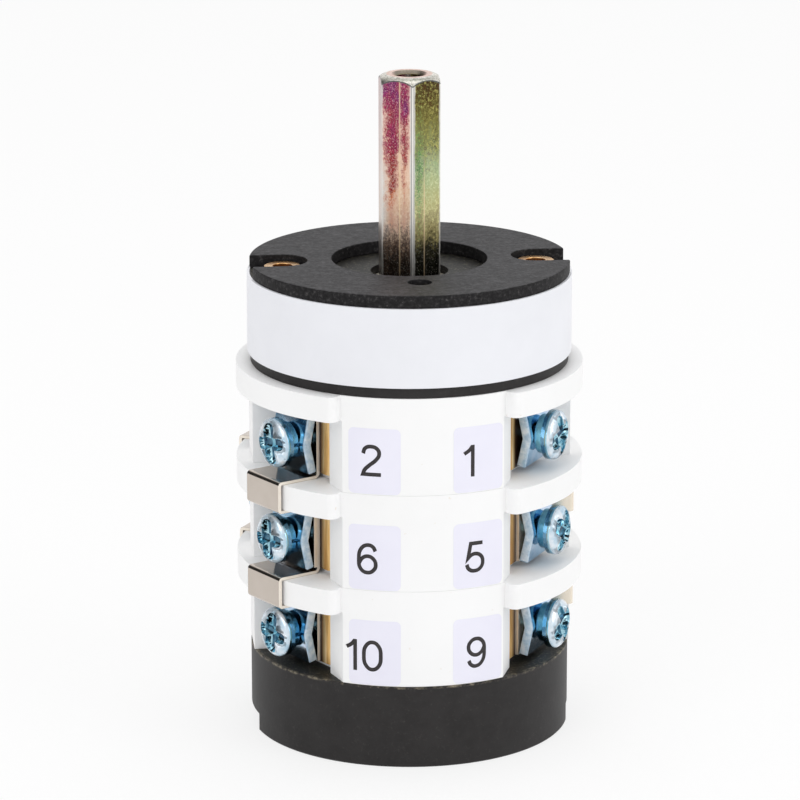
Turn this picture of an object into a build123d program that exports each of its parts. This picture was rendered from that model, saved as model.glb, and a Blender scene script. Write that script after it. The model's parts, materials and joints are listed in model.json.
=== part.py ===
from build123d import *
from math import cos, degrees, radians, sin, sqrt
import os

# A three-stage rotary cam switch. Z is up the shaft, the base stands on z = 0, the labelled blocks face -Y,
# and the two tie bolts stand at -X and +X. All sizes are in millimetres. The hexagonal shaft sets the rotor,
# the rotor sets the cam chamber, and the chamber sets the housings around it: sizes run from inside out.

# Shaft
shaft_flats = 10.0
shaft_rise = 32.0
shaft_crown_at_flats = 0.4
shaft_crown_at_corners = 1.2
shaft_thread_radius = 2.5
shaft_thread_depth = 16.0
shaft_thread_mouth = 0.6
shaft_corner = shaft_flats / sqrt(3)
shaft_land_radius = 0.395 * shaft_flats
shaft_hole_radius = 0.66 * shaft_flats
bearing_radius = 0.4 * shaft_flats
bearing_length = 6.0
bearing_relief = 0.3
running_clearance = 0.05
axial_clearance = 0.15

# Retaining ring under the lowest stage
ring_thickness = 0.95
ring_groove_radius = 0.44 * shaft_flats
ring_groove_play = 0.05
ring_outer_radius = ring_groove_radius + 2.8
ring_end_gap = 2.0
ring_pocket_radius = ring_outer_radius + 1.8
ring_pocket_depth = 3.5

# Stage heights
stage_count = 3
stage_pitch = 16.8
flange_thickness = 4.4
chamber_roof = 2.4
bay_height = stage_pitch - flange_thickness
chamber_height = bay_height - chamber_roof

# Cams. A cam's radius grows evenly from its low point to its high point, half a turn away.
hub_radius = 0.78 * shaft_flats
hub_clearance = 0.5
bore_clearance = 0.05
stack_lift = 0.2
cam_step = 0.7
cam_low_radius = hub_radius + cam_step
cam_lift_per_degree = 0.025
cam_high_radius = cam_low_radius + cam_lift_per_degree * 180
cam_rest_radius = cam_low_radius + cam_lift_per_degree * 90
cam_floor = 2.2
cam_spline_steps = 12
cam_thickness = chamber_height - 4.0
throw_angle = 60.0
carrier_travel = cam_lift_per_degree * throw_angle

# Plan of a stage: chamber, terminal walls, front and back blocks, bolt posts and flange
chamber_clearance = 0.6
chamber_wall = 7.4
terminal_depth = 6.5
flange_proud = 2.35
flange_corner = 1.5
flange_gap_half_angle = 30.5
block_half_angle = 29.7
block_side_depth = 1.7
block_side_gap = 0.35
terminal_angle = 60.0
post_width = 9.4
post_inset = 0.1
chamber_radius = cam_high_radius + chamber_clearance
wall_distance = chamber_radius + chamber_wall
block_radius = wall_distance + terminal_depth
flange_radius = block_radius + flange_proud
post_reach = block_radius - post_inset

# Base
base_height = 14.4
base_proud = 0.1
base_chamfer = 0.3
bolt_slot_width = 13.0
bolt_slot_height = 3.2
base_radius = block_radius + base_proud
bearing_floor = base_height - ring_pocket_depth

# Detent housing, its label band and the top plate
housing_inset = 0.15
housing_roof = 3.2
lower_rim = 1.85
label_height = 13.6
label_thickness = 0.5
plate_thickness = 2.2
plate_window_radius = 1.33 * shaft_flats
plate_slot_width = 8.4
setting_hole_radius = 2.0
setting_hole_inset = 9.7
housing_radius = block_radius - housing_inset
housing_height = lower_rim + label_height
housing_depth = housing_height - housing_roof
plate_radius = block_radius
setting_hole_reach = plate_radius - setting_hole_inset

# Tie bolts and their sleeves
tie_inset = 5.75
bolt_radius = 2.0
bolt_head_radius = 4.0
bolt_head_height = 2.7
bolt_head_chamfer = 0.4
bolt_tip_room = 0.3
bolt_clearance = 0.2
sleeve_radius = 3.2
sleeve_length = 11.2
sleeve_sink = 0.9
sleeve_thread_radius = 1.65
sleeve_engagement = 6.0
tie_reach = block_radius - tie_inset

# Detent
lobe_count = 6
lobe_rise = 3.6
pin_radius = 3.0
pin_bite = 2.0
pin_clearance = 0.15
star_floor = 1.8
star_chamber_clearance = 1.2
plunger_width = 9.0
plunger_depth = 5.4
plunger_wrap = 0.1
guide_clearance = 0.1
detent_wall = 2.35
journal_step = 0.7
journal_depth = 1.8
star_thickness = housing_depth - star_floor - 1.45
lobe_radius = hub_radius + lobe_rise
pin_seat_reach = lobe_radius + pin_radius - pin_bite
pin_rest = lobe_radius + pin_radius + guide_clearance
journal_radius = hub_radius + journal_step
detent_pocket_reach = housing_radius - detent_wall

# Terminals
terminal_width = 9.6
terminal_margin = 2.2
terminal_lift = 1.0
strip_thickness = 1.1
arm_inset = 9.87
arm_end = 4.6
contact_reach = 6.4
contact_radius = 1.8
contact_thickness = 0.6
bend_radius = 1.0
slot_clearance = 0.08
slot_mouth_radius = 0.6
arm_clearance = 0.3
strip_height = bay_height - terminal_margin
screw_height = strip_height / 2 + terminal_lift
arm_height = chamber_height / 2
contact_height = chamber_height / 2
strip_face = wall_distance + strip_thickness
arm_face = block_radius - arm_inset

# Contact bridges, their carriers and springs
contact_gap = 1.6
bridge_thickness = 1.0
bridge_half_length = 8.6
bridge_clearance = 0.6
bridge_corner = 1.0
bridge_end_room = 0.5
bridge_height = chamber_height / 2
bridge_inner = arm_face + contact_thickness + contact_gap + contact_thickness
bridge_outer = bridge_inner + bridge_thickness
bridge_chamber = bridge_outer + carrier_travel + bridge_end_room
carrier_width = 7.0
carrier_clearance = 0.1
carrier_shoulder = chamber_radius + 0.4
nose_clearance = 0.1
nose_radius = 1.5
stud_radius = 1.5
stud_length = 2.5
spring_wall = 1.9
spring_pocket_width = 6.8
spring_seat_gap = 0.05
spring_side_play = 0.2
spring_floor = block_radius - spring_wall
bridge_spring_radius = 2.3
bridge_spring_wire = 0.3
bridge_spring_turns = 3
detent_spring_radius = 2.6
detent_spring_wire = 0.4
detent_spring_turns = 4
detent_spring_pocket = 2.0

# Clamps and screws
clamp_height = strip_height - 0.1
clamp_thickness = 1.6
clamp_rise = 1.1
clamp_bend = 1.4
washer_thickness = 1.5
washer_radius = 3.4
washer_gap = 0.6
screw_radius = 2.0
screw_head_radius = 4.25
screw_head_height = 2.4
screw_head_round = 1.15
screw_length = 8.5
screw_tip_room = 0.4
screw_hole_clearance = 0.15
thread_clearance = 0.05
cut_overshoot = 1.0

# Jumpers. A fold wrapped around a sharp edge clears it by the stand-off. The folds at the tabs are wider.
jumper_thickness = 0.6
jumper_stand_off = 0.1
tab_bend = 0.75
wrap_bend = jumper_thickness / 2 + jumper_stand_off
tab_reach = strip_height / 2 - 0.1
strap_height = 5.5
strap_notch = 0.6
strap_high = bay_height - 0.2
strap_low = strap_high - strap_height

# Heights of the stack
stack_top = base_height + stage_count * stage_pitch
plate_floor = stack_top + housing_height
plate_top = plate_floor + plate_thickness
shaft_top = plate_top + shaft_rise

parts_folder = "parts"
os.makedirs(parts_folder, exist_ok=True)
on_its_foot = (Align.CENTER, Align.CENTER, Align.MIN)


def stage_floor(stage):
    """Height of a stage's lower face. Stage 1 is the top one."""
    return base_height + (stage_count - stage) * stage_pitch


def save(name, shape):
    export_step(shape, os.path.join(parts_folder, name + ".step"))


def at_terminal(azimuth, shape):
    """Turns a shape drawn with +X outwards to a terminal, whose azimuth is counted from -Y towards +X."""
    return Rot(0, 0, azimuth - 90) * shape


def polar(radius, azimuth):
    angle = radians(azimuth)
    return (radius * sin(angle), -radius * cos(angle))


def on_terminal(outwards, along, azimuth=terminal_angle):
    """Plan position from the distance outwards of the axis and the distance along the terminal's face."""
    angle = radians(azimuth)
    x = outwards * sin(angle) + along * cos(angle)
    y = -outwards * cos(angle) + along * sin(angle)
    return (x, y)


def along_for_y(outwards, y):
    """Distance along the front right terminal's face at which a line at that distance outwards reaches y."""
    return (y + outwards * cos(radians(terminal_angle))) / sin(radians(terminal_angle))


def standing(radius, height, x=0.0, y=0.0, z=0.0):
    """An upright cylinder that stands on z."""
    return Pos(x, y, z) * Cylinder(radius, height, align=on_its_foot)


def block(low, high):
    """A box between two opposite corners."""
    size = [high[i] - low[i] for i in range(3)]
    middle = [(high[i] + low[i]) / 2 for i in range(3)]
    return Pos(*middle) * Box(*size)


def rod_x(radius, start, end, z):
    """A cylinder that runs outwards along X."""
    return Pos(start, 0, z) * Rot(0, 90, 0) * Cylinder(radius, end - start, align=on_its_foot)


def rod_y(radius, start, end, x, z):
    """A cylinder that runs from y = start to y = end."""
    low = min(start, end)
    rod = Cylinder(radius, abs(end - start), align=on_its_foot)
    return Pos(x, low, z) * Rot(-90, 0, 0) * rod


def folded_strip(points, thickness, width, bends):
    """A strip of sheet folded along a plan line, with one radius per fold, its width along Z about z = 0."""
    line = FilletPolyline(*points, radius=bends)
    section = trace(line, line_width=thickness)
    return extrude(section, width / 2, both=True)


def raise_profile(shape):
    """Stands up a profile drawn in XY, so that its Y becomes Z."""
    return Rot(90, 0, 0) * shape


def hexagon(across_flats, turn=0.0):
    return RegularPolygon(across_flats / 2, 6, major_radius=False, rotation=turn)


# The hexagonal bar has a corner at the front, over the labels.
def shaft_section(clearance=0.0):
    return hexagon(shaft_flats + 2 * clearance, 30)


def sector(half_angle, reach):
    """A wedge about -Y, from the axis outwards."""
    corner = polar(reach / cos(radians(half_angle)), half_angle)
    return make_face(Polyline((0, 0), (-corner[0], corner[1]), corner, close=True))


def front_block_section():
    """The block that holds a contact bridge: a round face, and sides that run back to the terminal walls."""
    side_along = along_for_y(wall_distance, -arm_face) - block_side_gap
    foot = on_terminal(wall_distance, side_along)
    shoulder = on_terminal(wall_distance + block_side_depth, side_along)
    corner = polar(block_radius, block_half_angle)
    past = (2 * corner[0] - shoulder[0], 2 * corner[1] - shoulder[1])
    right = [foot, shoulder, corner, past]
    left = [(-x, y) for x, y in reversed(right)]
    wedge = make_face(Polyline((0, 0), *right, *left, close=True))
    return wedge & Circle(block_radius)


def bay_section():
    """Plan of a stage below its flange: core, two blocks and two bolt posts."""
    core = hexagon(2 * wall_distance)
    front = front_block_section()
    back = mirror(front, about=Plane.XZ)
    posts = Rectangle(2 * post_reach, post_width)
    return core + front + back + posts


def flange_section():
    """Plan of the flange: it stands proud of the blocks on both sides, with rounded ends."""
    gap = sector(flange_gap_half_angle, 2 * flange_radius)
    wings = Circle(flange_radius) - gap - mirror(gap, about=Plane.XZ)
    outline = wings + Circle(block_radius)
    between = (flange_radius + block_radius) / 2
    ends = [corner for corner in outline.vertices() if sqrt(corner.X ** 2 + corner.Y ** 2) > between]
    return fillet(ends, flange_corner)


def mechanism_cavity():
    """What is hollow in a stage, open at its lower face: cam chamber, carrier ways and bridge chambers."""
    way = Rectangle(carrier_width + 2 * carrier_clearance, 2 * bridge_inner)
    plan = Circle(chamber_radius) + way
    half = bridge_half_length + bridge_clearance
    inner = arm_face - strip_thickness - arm_clearance
    for side in (-1, 1):
        plan += Pos(0, side * (inner + bridge_chamber) / 2) * Rectangle(2 * half, bridge_chamber - inner)
        plan += Pos(0, side * spring_floor / 2) * Rectangle(spring_pocket_width, spring_floor)
    return extrude(plan, chamber_height)


def arm_slots():
    """Slots through which the four contact arms reach the bridge chambers."""
    inner = arm_face - strip_thickness - slot_clearance
    outer = arm_face + slot_clearance
    reach = on_terminal(strip_face, along_for_y(strip_face, -arm_face))[0] + cut_overshoot
    top = contact_height + arm_height / 2 + slot_clearance
    slot = block((-reach, inner, 0), (reach, outer, top))
    mouth = on_terminal(wall_distance, along_for_y(wall_distance, -inner))
    for side in (-1, 1):
        slot += standing(slot_mouth_radius, top, side * mouth[0], inner)
    return slot + mirror(slot, about=Plane.XZ)


def screw_pockets():
    """Blind holes in the terminal walls for the ends of the screws."""
    tip = strip_face + clamp_rise + clamp_thickness + washer_thickness - screw_length - screw_tip_room
    pocket = rod_x(screw_radius + screw_hole_clearance, tip, wall_distance + cut_overshoot, screw_height)
    pockets = [at_terminal(azimuth, pocket) for azimuth in terminal_azimuths()]
    return pockets


def terminal_azimuths():
    return (-terminal_angle, terminal_angle, 180 - terminal_angle, 180 + terminal_angle)


def tie_holes(radius, low, high):
    return [standing(radius, high - low, side * tie_reach, 0, low) for side in (-1, 1)]


def stage_housing():
    """One white moulded stage, drawn with its lower face on z = 0."""
    body = extrude(bay_section(), bay_height)
    body += Pos(0, 0, bay_height) * extrude(flange_section(), flange_thickness)
    body -= mechanism_cavity()
    body -= arm_slots()
    body -= screw_pockets()
    body -= standing(hub_radius + hub_clearance, stage_pitch)
    body -= tie_holes(bolt_radius + bolt_clearance, 0, stage_pitch)
    return body


def base():
    """Black moulded base: lower bearing of the shaft, and slots on both sides for the heads of the bolts."""
    body = standing(base_radius, base_height)
    body = chamfer(body.edges().group_by(Axis.Z)[0], base_chamfer)
    body -= standing(ring_pocket_radius, ring_pocket_depth, z=bearing_floor)
    bearing_depth = bearing_length + bearing_relief
    body -= standing(bearing_radius + running_clearance, bearing_depth, z=bearing_floor - bearing_depth)
    for side in (-1, 1):
        body -= standing(bolt_slot_width / 2, bolt_slot_height, side * tie_reach)
        mouth = Rectangle(base_radius, bolt_slot_width)
        body -= Pos(side * (tie_reach + base_radius / 2)) * extrude(mouth, bolt_slot_height)
    body -= tie_holes(bolt_radius + bolt_clearance, 0, base_height)
    return body


def detent_housing():
    """Black housing over the stages, open below: star chamber, two plunger ways and the upper bearing."""
    body = standing(housing_radius, housing_height, z=stack_top)
    plan = Circle(lobe_radius + star_chamber_clearance)
    plan += Rectangle(plunger_width + 2 * guide_clearance, 2 * detent_pocket_reach)
    body -= Pos(0, 0, stack_top) * extrude(plan, housing_depth)
    body -= standing(journal_radius + running_clearance, housing_depth + journal_depth, z=stack_top)
    body -= standing(shaft_hole_radius, housing_height, z=stack_top)
    body -= tie_holes(bolt_radius + bolt_clearance, stack_top, plate_floor)
    body -= tie_holes(sleeve_radius + running_clearance, sleeve_floor(), plate_floor)
    return body


def sleeve_floor():
    return plate_top - sleeve_sink - sleeve_length


def label_band():
    ring = Circle(housing_radius + label_thickness) - Circle(housing_radius)
    return Pos(0, 0, stack_top + lower_rim) * extrude(ring, label_height)


def top_plate():
    """Flat black plate with a round window, two open slots over the tie sleeves and a small setting hole."""
    plan = Circle(plate_radius) - Circle(plate_window_radius)
    for side in (-1, 1):
        plan -= Pos(side * tie_reach, 0) * Circle(plate_slot_width / 2)
        plan -= Pos(side * (tie_reach + plate_radius / 2), 0) * Rectangle(plate_radius, plate_slot_width)
    plan -= Pos(0, -setting_hole_reach) * Circle(setting_hole_radius)
    plate = extrude(plan, plate_thickness)
    return Pos(0, 0, plate_floor) * plate


def tie_bolts():
    bolts = []
    top = sleeve_floor() + sleeve_engagement
    for side in (-1, 1):
        x = side * tie_reach
        head = standing(bolt_head_radius, bolt_head_height, x, 0, bolt_slot_height - bolt_head_height)
        head = chamfer(head.edges().group_by(Axis.Z)[0], bolt_head_chamfer)
        bolts.append(head + standing(bolt_radius, top - bolt_slot_height, x, 0, bolt_slot_height))
    return Compound(bolts)


def tie_sleeves():
    """Threaded sleeves: the tie bolt screws in from below, and a panel screw from above."""
    sleeves = []
    low = sleeve_floor()
    for side in (-1, 1):
        x = side * tie_reach
        sleeve = standing(sleeve_radius, sleeve_length, x, 0, low)
        sleeve -= standing(bolt_radius + thread_clearance, sleeve_engagement + bolt_tip_room, x, 0, low)
        sleeve -= standing(sleeve_thread_radius, sleeve_length, x, 0, low)
        sleeves.append(sleeve)
    return Compound(sleeves)


def shaft_crown(foot):
    """A turned body whose rounded shoulder leaves an arc at the top of every flat of the bar."""
    land = (shaft_land_radius, shaft_top)
    at_flats = (shaft_flats / 2, shaft_top - shaft_crown_at_flats)
    at_corners = (shaft_corner, shaft_top - shaft_crown_at_corners)
    beyond = (shaft_corner + 1, shaft_top - shaft_crown_at_corners - 2)
    rest = Polyline(at_corners, beyond, (beyond[0], foot), (0, foot), (0, shaft_top), land)
    profile = make_face([ThreePointArc(land, at_flats, at_corners), *rest.edges()])
    return revolve(Plane.XZ * profile, Axis.Z)


def shaft():
    """Hexagonal bar with a crowned and tapped top, a ring groove and a round spigot at its foot."""
    shoulder = bearing_floor + running_clearance
    bar = extrude(shaft_section(), shaft_top - shoulder)
    bar = Pos(0, 0, shoulder) * bar
    bar = bar & shaft_crown(shoulder)
    groove_low = ring_floor() - ring_groove_play
    groove_height = ring_thickness + 2 * ring_groove_play
    groove = standing(2 * shaft_corner, groove_height, z=groove_low)
    groove -= standing(ring_groove_radius, groove_height, z=groove_low)
    bar -= groove
    bar += standing(bearing_radius, bearing_length, z=shoulder - bearing_length)
    bar -= standing(shaft_thread_radius, shaft_thread_depth, z=shaft_top - shaft_thread_depth)
    mouth_radius = shaft_thread_radius + shaft_thread_mouth
    mouth = Cone(shaft_thread_radius, mouth_radius, shaft_thread_mouth, align=on_its_foot)
    bar -= Pos(0, 0, shaft_top - shaft_thread_mouth) * mouth
    return bar


def ring_floor():
    return base_height + stack_lift - 2 * ring_groove_play - ring_thickness


def retaining_ring():
    ring = Circle(ring_outer_radius) - Circle(ring_groove_radius + ring_groove_play)
    ring -= Pos(ring_outer_radius, 0) * Rectangle(2 * ring_outer_radius, ring_end_gap)
    return Pos(0, 0, ring_floor()) * extrude(ring, ring_thickness)


def cam_outline(side):
    """Heart-shaped cam: its radius grows evenly with the angle from its low point, so lift follows turn."""
    upper = []
    for step in range(cam_spline_steps + 1):
        turn = 180.0 * step / cam_spline_steps
        radius = cam_low_radius + cam_lift_per_degree * turn
        angle = radians(180.0 - turn)
        upper.append((side * radius * cos(angle), radius * sin(angle)))
    lower = [(x, -y) for x, y in upper]
    return make_face([Spline(*upper), Spline(*lower)])


def cam(stage):
    """A stage's cam with its hub. The bottom stage's cam is reversed."""
    side = -1 if stage == stage_count else 1
    disc = Pos(0, 0, cam_floor) * extrude(cam_outline(side), cam_thickness)
    body = standing(hub_radius, stage_pitch) + disc
    body -= extrude(shaft_section(bore_clearance), stage_pitch)
    return Pos(0, 0, stage_floor(stage) + stack_lift) * body


def detent_star():
    """Six-lobed star with a valley every 60 degrees, and the journal of the upper bearing above it."""
    plan = Circle(lobe_radius)
    for lobe in range(lobe_count):
        angle = radians(90 + lobe * 360 / lobe_count)
        x, y = pin_seat_reach * cos(angle), pin_seat_reach * sin(angle)
        plan -= Pos(x, y) * Circle(pin_radius + pin_clearance)
    foot = stack_top + stack_lift
    journal_top = stack_top + housing_depth + journal_depth - axial_clearance
    body = standing(hub_radius, journal_top - foot, z=foot)
    body += Pos(0, 0, stack_top + star_floor) * extrude(plan, star_thickness)
    journal_low = stack_top + star_floor + star_thickness
    body += standing(journal_radius, journal_top - journal_low, z=journal_low)
    body -= Pos(0, 0, stack_top) * extrude(shaft_section(bore_clearance), housing_height)
    return body


def detent_plunger():
    """Front plunger, with a half-round seat for its pin and a blind hole for its spring."""
    front = -(pin_rest + plunger_wrap)
    back = front - plunger_depth
    low = stack_top + 2 * axial_clearance
    high = stack_top + housing_depth - 2 * axial_clearance
    body = block((-plunger_width / 2, back, low), (plunger_width / 2, front, high))
    body -= standing(pin_radius + running_clearance, high - low, 0, -pin_rest, low)
    pocket_radius = detent_spring_radius + detent_spring_wire + spring_side_play
    body -= rod_y(pocket_radius, back, back + detent_spring_pocket, 0, spring_height())
    return body


def spring_height():
    return stack_top + housing_depth / 2


def detent_pin():
    return standing(pin_radius, star_thickness, 0, -pin_rest, stack_top + star_floor)


def coil_spring(radius, wire, length, turns):
    """A compression spring along Z from z = 0, of square-drawn wire."""
    height = length - 2 * wire
    helix = Helix(pitch=height / turns, height=height, radius=radius)
    side = wire * sqrt(2)
    section = Plane(origin=helix @ 0, z_dir=helix % 0, x_dir=(0, 0, 1)) * Rectangle(side, side)
    coil = sweep(section, helix, is_frenet=True)
    return Pos(0, 0, wire) * coil


def laid_spring(radius, wire, turns, start, end, z):
    """The front spring between y = start and the wall at y = end."""
    length = abs(end - start) - 2 * spring_seat_gap
    coil = coil_spring(radius, wire, length, turns)
    return Pos(0, start - spring_seat_gap, z) * Rot(90, 0, 0) * coil


def terminal_strip():
    """Brass strip of the front right terminal: screwed pad outside, contact arm inside, on stage z = 0."""
    middle = strip_face - strip_thickness / 2
    arm_y = -(arm_face - strip_thickness / 2)
    points = [
        on_terminal(middle, terminal_width / 2),
        on_terminal(middle, along_for_y(middle, arm_y)),
        (arm_end, arm_y),
    ]
    strip = Pos(0, 0, screw_height) * folded_strip(points, strip_thickness, strip_height, [bend_radius])
    low = contact_height - arm_height / 2
    high = contact_height + arm_height / 2
    below_arm = block((0, -block_radius, 0), (wall_distance, block_radius, low))
    above_arm = block((0, -block_radius, high), (wall_distance, block_radius, bay_height))
    strip -= at_terminal(terminal_angle, below_arm + above_arm)
    strip += rod_y(contact_radius, -arm_face, -arm_face - contact_thickness, contact_reach, contact_height)
    start = wall_distance - cut_overshoot
    end = strip_face + cut_overshoot
    hole = rod_x(screw_radius + thread_clearance, start, end, screw_height)
    return strip - at_terminal(terminal_angle, hole)


def carrier():
    """Front carrier: a nose that follows the cam, a guided shank and a stud that centres the bridge."""
    half = carrier_width / 2
    tip = cam_rest_radius + nose_clearance
    low = axial_clearance
    high = chamber_height - axial_clearance
    shank = block((-half, -bridge_inner, low), (half, -carrier_shoulder, high))
    centre = tip + nose_radius
    taper_points = [
        (-half, -carrier_shoulder),
        (half, -carrier_shoulder),
        (nose_radius, -centre),
        (-nose_radius, -centre),
    ]
    nose = make_face(Polyline(*taper_points, close=True)) + Pos(0, -centre) * Circle(nose_radius)
    nose_low = cam_floor + stack_lift + axial_clearance
    nose_high = nose_low + cam_thickness - 2 * axial_clearance
    shank += Pos(0, 0, nose_low) * extrude(nose, nose_high - nose_low)
    shank += rod_y(stud_radius, -bridge_inner, -bridge_inner - stud_length, 0, contact_height)
    return shank


def bridge():
    """Front contact bridge with its two contact buttons."""
    plate = Rectangle(2 * bridge_half_length, bridge_height)
    plate = fillet(plate.vertices(), bridge_corner)
    plate -= Circle(stud_radius + carrier_clearance)
    body = Pos(0, -bridge_inner, contact_height) * Rot(90, 0, 0) * extrude(plate, bridge_thickness)
    for side in (-1, 1):
        face = -bridge_inner + contact_thickness
        body += rod_y(contact_radius, -bridge_inner, face, side * contact_reach, contact_height)
    return body


def tab_count(terminal):
    """Number of jumper tabs held under a terminal's clamp."""
    counts = {2: 1, 6: 2, 10: 1, 4: 1, 8: 2, 12: 1, 5: 1, 7: 1, 9: 1, 11: 1}
    return counts.get(terminal, 0)


def terminals():
    """Number, azimuth and floor of every terminal. Odd ones are on the right, the lower pair in front."""
    places = []
    for stage in range(1, stage_count + 1):
        first = 4 * (stage - 1)
        places.append((first + 1, terminal_angle, stage_floor(stage)))
        places.append((first + 2, -terminal_angle, stage_floor(stage)))
        places.append((first + 3, 180 - terminal_angle, stage_floor(stage)))
        places.append((first + 4, 180 + terminal_angle, stage_floor(stage)))
    return places


def clamp_seat(terminal):
    return strip_face + tab_count(terminal) * jumper_thickness


def washer_seat(terminal):
    return clamp_seat(terminal) + clamp_rise + clamp_thickness


def head_seat(terminal):
    return washer_seat(terminal) + washer_thickness


def clamp_plate():
    """Pressed plate with a fold across its middle, drawn with its edges on x = 0."""
    half = clamp_height / 2
    skin = clamp_thickness / 2
    points = [(skin, -half), (skin + clamp_rise, 0), (skin, half)]
    plate = raise_profile(folded_strip(points, clamp_thickness, terminal_width, [clamp_bend]))
    depth = clamp_rise + 2 * clamp_thickness
    return plate - rod_x(screw_radius + screw_hole_clearance, -depth, depth, 0)


def lock_washer():
    ring = Circle(washer_radius) - Circle(screw_radius + screw_hole_clearance)
    ring -= Pos(0, washer_radius) * Rectangle(washer_gap, 2 * washer_radius)
    return Rot(0, 90, 0) * extrude(ring, washer_thickness)


def terminal_screw():
    """Pan-head screw with its head's seat on x = 0 and its shank inwards."""
    head = rod_x(screw_head_radius, 0, screw_head_height, 0)
    head = fillet(head.edges().group_by(Axis.X)[-1], screw_head_round)
    return head + rod_x(screw_radius, -screw_length, 0, 0)


def repeat_on_terminals(piece, seat):
    """One copy of a fastener on each terminal, at the given distance from the axis."""
    copies = []
    for terminal, azimuth, floor in terminals():
        copies.append(at_terminal(azimuth, Pos(seat(terminal), 0, floor + screw_height) * piece))
    return Compound(copies)


def jumper(upper_stage, azimuth, lower_level):
    """Link from a terminal to the one below it, folded around the flange between them."""
    skin = jumper_thickness / 2
    flange_top = stage_floor(upper_stage)
    upper = strip_face + skin
    lower = strip_face + lower_level * jumper_thickness + skin
    outer = flange_radius + jumper_stand_off + skin
    under = flange_top - flange_thickness - skin
    points = [
        (upper, flange_top + screw_height + tab_reach),
        (upper, flange_top + skin),
        (outer, flange_top + skin),
        (outer, under),
        (lower, under),
        (lower, flange_top - stage_pitch + screw_height - tab_reach),
    ]
    bends = [tab_bend, wrap_bend, wrap_bend, tab_bend]
    link = raise_profile(folded_strip(points, jumper_thickness, terminal_width, bends))
    for distance, floor in ((upper, flange_top), (lower, flange_top - stage_pitch)):
        start = distance - cut_overshoot
        end = distance + cut_overshoot
        link -= rod_x(screw_radius + screw_hole_clearance, start, end, floor + screw_height)
    return at_terminal(azimuth, link)


def cross_strap(stage):
    """Link between the two right-hand terminals of a stage, folded around the bolt post."""
    skin = jumper_thickness / 2
    middle = strip_face + skin
    side = post_width / 2 + jumper_stand_off + skin
    outer = post_reach + jumper_stand_off + skin
    knee = on_terminal(middle, along_for_y(middle, -side))
    end = on_terminal(middle, -terminal_width / 2)
    front = [end, knee, (outer, -side)]
    back = [(x, -y) for x, y in reversed(front)]
    low = screw_height - tab_reach
    bends = [tab_bend, wrap_bend, wrap_bend, tab_bend]
    strap = folded_strip(front + back, jumper_thickness, strap_high - low, bends)
    strap = Pos(0, 0, (strap_high + low) / 2) * strap
    edge = knee[0] - strap_notch
    beyond = outer + jumper_thickness
    strap -= block((edge, -side - jumper_thickness, 0), (beyond, side + jumper_thickness, strap_low))
    for azimuth in (terminal_angle, 180 - terminal_angle):
        start = middle - cut_overshoot
        end = middle + cut_overshoot
        strap -= at_terminal(azimuth, rod_x(screw_radius + screw_hole_clearance, start, end, screw_height))
    return Pos(0, 0, stage_floor(stage)) * strap


def save_housings():
    save("base", base())
    stage = stage_housing()
    for number in range(1, stage_count + 1):
        save(f"stage_housing_{number}", Pos(0, 0, stage_floor(number)) * stage)
    save("detent_housing", detent_housing())
    save("label_band", label_band())
    save("top_plate", top_plate())
    save("tie_bolts", tie_bolts())
    save("tie_sleeves", tie_sleeves())


def save_rotor():
    save("shaft", shaft())
    save("retaining_ring", retaining_ring())
    for number in range(1, stage_count + 1):
        save(f"cam_{number}", cam(number))
    save("detent_star", detent_star())


def save_detents():
    wall = -detent_pocket_reach
    seat = -(pin_rest + plunger_wrap + plunger_depth - detent_spring_pocket)
    wire = detent_spring_wire
    spring = laid_spring(detent_spring_radius, wire, detent_spring_turns, seat, wall, spring_height())
    pieces = {"detent_plunger": detent_plunger(), "detent_pin": detent_pin(), "detent_spring": spring}
    for name, piece in pieces.items():
        save(name + "_front", piece)
        save(name + "_back", mirror(piece, about=Plane.XZ))


def save_contacts():
    wall = -spring_floor
    wire = bridge_spring_wire
    seat = -bridge_outer
    spring = laid_spring(bridge_spring_radius, wire, bridge_spring_turns, seat, wall, contact_height)
    pieces = {"contact_carrier": carrier(), "contact_bridge": bridge(), "bridge_spring": spring}
    for number in range(1, stage_count + 1):
        lift = Pos(0, 0, stage_floor(number))
        for name, piece in pieces.items():
            save(f"{name}_{number}_front", lift * piece)
            save(f"{name}_{number}_back", lift * mirror(piece, about=Plane.XZ))


def save_terminals():
    right = terminal_strip()
    for terminal, azimuth, floor in terminals():
        strip = right
        if sin(radians(azimuth)) < 0:
            strip = mirror(strip, about=Plane.YZ)
        if cos(radians(azimuth)) < 0:
            strip = mirror(strip, about=Plane.XZ)
        save(f"terminal_strip_{terminal}", Pos(0, 0, floor) * strip)
    save("clamp_plates", repeat_on_terminals(clamp_plate(), clamp_seat))
    save("lock_washers", repeat_on_terminals(lock_washer(), washer_seat))
    save("terminal_screws", repeat_on_terminals(terminal_screw(), head_seat))


def save_jumpers():
    save("jumper_2_6", jumper(1, -terminal_angle, 1))
    save("jumper_6_10", jumper(2, -terminal_angle, 0))
    save("jumper_4_8", jumper(1, 180 + terminal_angle, 1))
    save("jumper_8_12", jumper(2, 180 + terminal_angle, 0))
    save("cross_strap_5_7", cross_strap(2))
    save("cross_strap_9_11", cross_strap(3))


save_housings()
save_rotor()
save_detents()
save_contacts()
save_terminals()
save_jumpers()
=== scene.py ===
# Rotary cam switch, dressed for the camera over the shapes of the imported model.
import json
import math

import bpy
from mathutils import Matrix, Vector

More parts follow.
